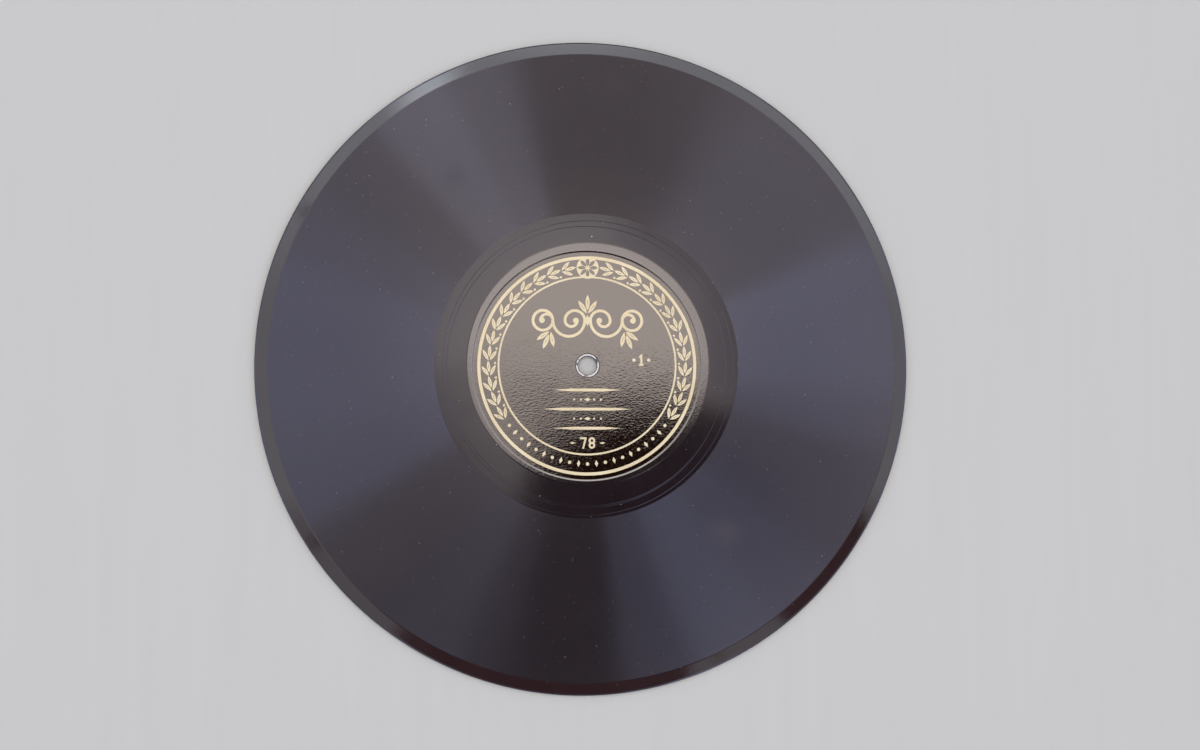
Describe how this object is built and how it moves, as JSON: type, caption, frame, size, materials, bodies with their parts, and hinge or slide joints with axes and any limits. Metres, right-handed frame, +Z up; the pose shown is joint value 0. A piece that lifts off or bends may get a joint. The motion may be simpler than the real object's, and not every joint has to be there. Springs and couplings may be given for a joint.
{
  "type": "shellac record",
  "caption": "Flat round shellac gramophone record with a grooved band, run-out and stop grooves, a sunk printed paper label on each face and a central spindle hole.",
  "frame": {"origin": "on the spindle hole's axis, in the plane that the record lies on", "axes": "+Z up through the spindle hole, +Y towards the top of the front label"},
  "size_m": [0.254, 0.254, 0.0022],
  "materials": {
    "shellac": "pressed brown-black shellac compound, glossy on the lands and silky along the groove",
    "label_paper": "black glazed paper with a fine pressed grain",
    "label_ink": "pale gold bronze ink"
  },
  "bodies": {
    "root": {"disc": "shellac", "front_label": "label_paper", "back_label": "label_paper", "front_print": "label_ink", "back_print": "label_ink"}
  },
  "joints": []
}
